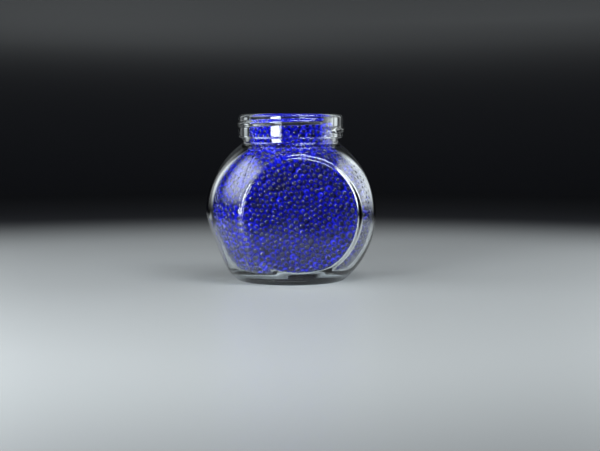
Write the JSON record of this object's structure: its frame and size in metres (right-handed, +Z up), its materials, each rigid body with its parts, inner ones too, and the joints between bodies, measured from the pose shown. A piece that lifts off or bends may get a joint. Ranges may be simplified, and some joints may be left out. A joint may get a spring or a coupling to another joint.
{
  "type": "open desiccant jar",
  "caption": "Open globe-shaped glass jar with a screw-thread neck, filled to the neck with dark-blue silica gel desiccant beads.",
  "frame": {"origin": "on the table under the middle of the jar's base", "axes": "+Z up out of the mouth, -Y out of the front flat, -X towards the tilted side flat"},
  "size_m": [0.0902, 0.066, 0.0876],
  "materials": {
    "clear_glass": "gloss",
    "blue_gel": "satin",
    "blue_gel_light": "satin"
  },
  "bodies": {
    "jar": {"glass_jar": "clear_glass", "gel_bed_heel": "blue_gel", "gel_bed_lower": "blue_gel", "gel_bed_middle": "blue_gel", "gel_bed_upper": "blue_gel", "gel_bed_shoulder": "blue_gel", "gel_bed_neck": "blue_gel"},
    "top_beads": {"top_beads_fine": "blue_gel_light", "top_beads_medium": "blue_gel", "top_beads_coarse": "blue_gel"}
  },
  "joints": [
    {"name": "top_beads_lift", "type": "slide", "parent": "jar", "child": "top_beads", "axis": [0, 0, 1], "range_m": [0, 0.03]}
  ]
}
